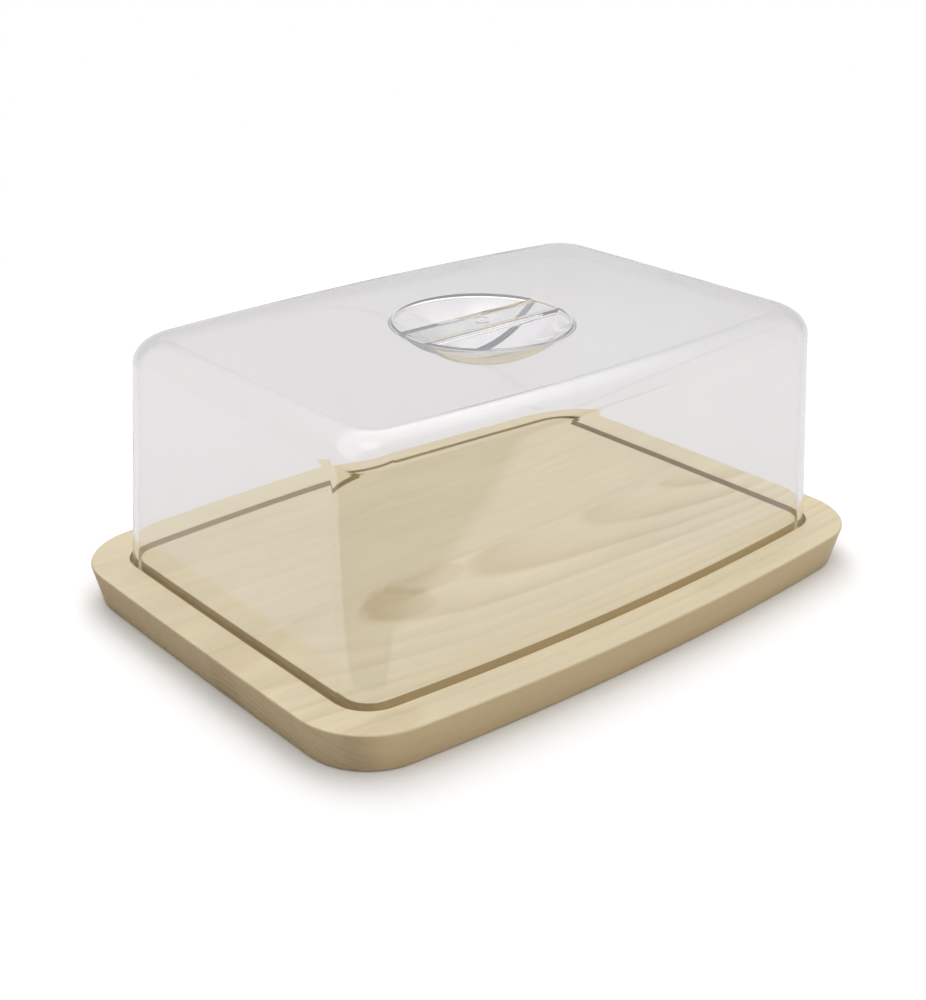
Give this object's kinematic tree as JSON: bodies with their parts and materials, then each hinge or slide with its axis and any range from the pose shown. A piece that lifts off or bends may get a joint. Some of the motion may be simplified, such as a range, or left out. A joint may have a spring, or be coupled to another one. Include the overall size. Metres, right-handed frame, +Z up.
{
  "type": "cheese board with dome",
  "caption": "Rectangular beech board with rounded corners and a rim groove, under a clear lift-off dome with a recessed bar grip in its top.",
  "frame": {"origin": "centre of the board's underside", "axes": "+X along the board and along the grain, +Y towards the back, where the wider stave is, +Z up"},
  "size_m": [0.2996, 0.2176, 0.1178],
  "materials": {
    "beech": "bare or lightly oiled beech, sanded smooth, with nested flame figures",
    "beech_back": "bare or lightly oiled beech, sanded smooth, with fine straight grain",
    "clear_plastic": "clear moulded plastic with a high gloss"
  },
  "bodies": {
    "board": {"board_stave_front": "beech", "board_stave_back": "beech_back"},
    "dome": {"dome": "clear_plastic"}
  },
  "joints": [
    {"name": "dome_lift", "type": "slide", "parent": "board", "child": "dome", "axis": [0, 0, 1], "range_m": [0, 0.15]}
  ]
}
